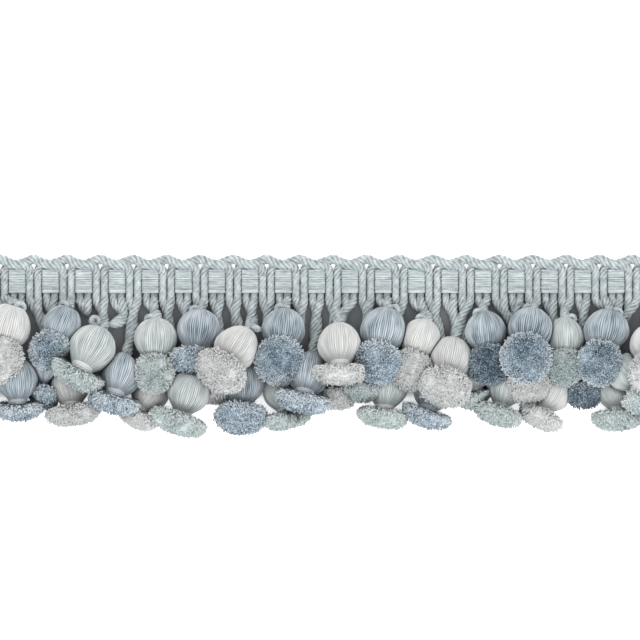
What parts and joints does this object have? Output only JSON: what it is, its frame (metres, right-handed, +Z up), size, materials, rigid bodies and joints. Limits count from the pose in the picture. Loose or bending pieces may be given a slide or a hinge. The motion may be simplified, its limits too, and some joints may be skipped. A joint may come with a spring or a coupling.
{
  "type": "tassel fringe",
  "caption": "Cut length of tassel fringe: a corded heading with a scalloped edge and twisted bullions, hung with soft round tassels that lie in a loose heap.",
  "frame": {"origin": "middle of the woven band's flat back face", "axes": "+X along the fringe, +Y towards the scalloped edge, +Z up from the surface that it lies on"},
  "size_m": [0.3198, 0.0777, 0.0325],
  "materials": {
    "cord": "twisted yarn",
    "band": "woven threads",
    "blue": "wound and cut yarn",
    "sage": "wound and cut yarn",
    "ivory": "wound and cut yarn"
  },
  "bodies": {
    "root": {"cord_fringe": "cord", "woven_band": "band", "tassel_01": "blue", "tassel_02": "ivory", "tassel_03": "ivory", "tassel_04": "ivory", "tassel_05": "sage", "tassel_06": "ivory", "tassel_07": "sage", "tassel_08": "sage", "tassel_09": "blue", "tassel_10": "sage", "tassel_11": "sage", "tassel_12": "blue", "tassel_13": "sage", "tassel_14": "ivory", "tassel_15": "blue", "tassel_16": "sage", "tassel_17": "blue", "tassel_18": "sage", "tassel_19": "blue", "tassel_20": "ivory", "tassel_21": "blue", "tassel_22": "blue", "tassel_23": "blue", "tassel_24": "sage", "tassel_25": "ivory", "tassel_26": "sage", "tassel_27": "blue", "tassel_28": "ivory", "tassel_29": "blue", "tassel_30": "ivory", "tassel_31": "sage", "tassel_32": "ivory", "tassel_33": "blue", "tassel_34": "blue", "tassel_35": "ivory", "tassel_36": "blue", "tassel_37": "sage", "tassel_38": "ivory", "tassel_39": "blue", "tassel_40": "blue"}
  },
  "joints": []
}
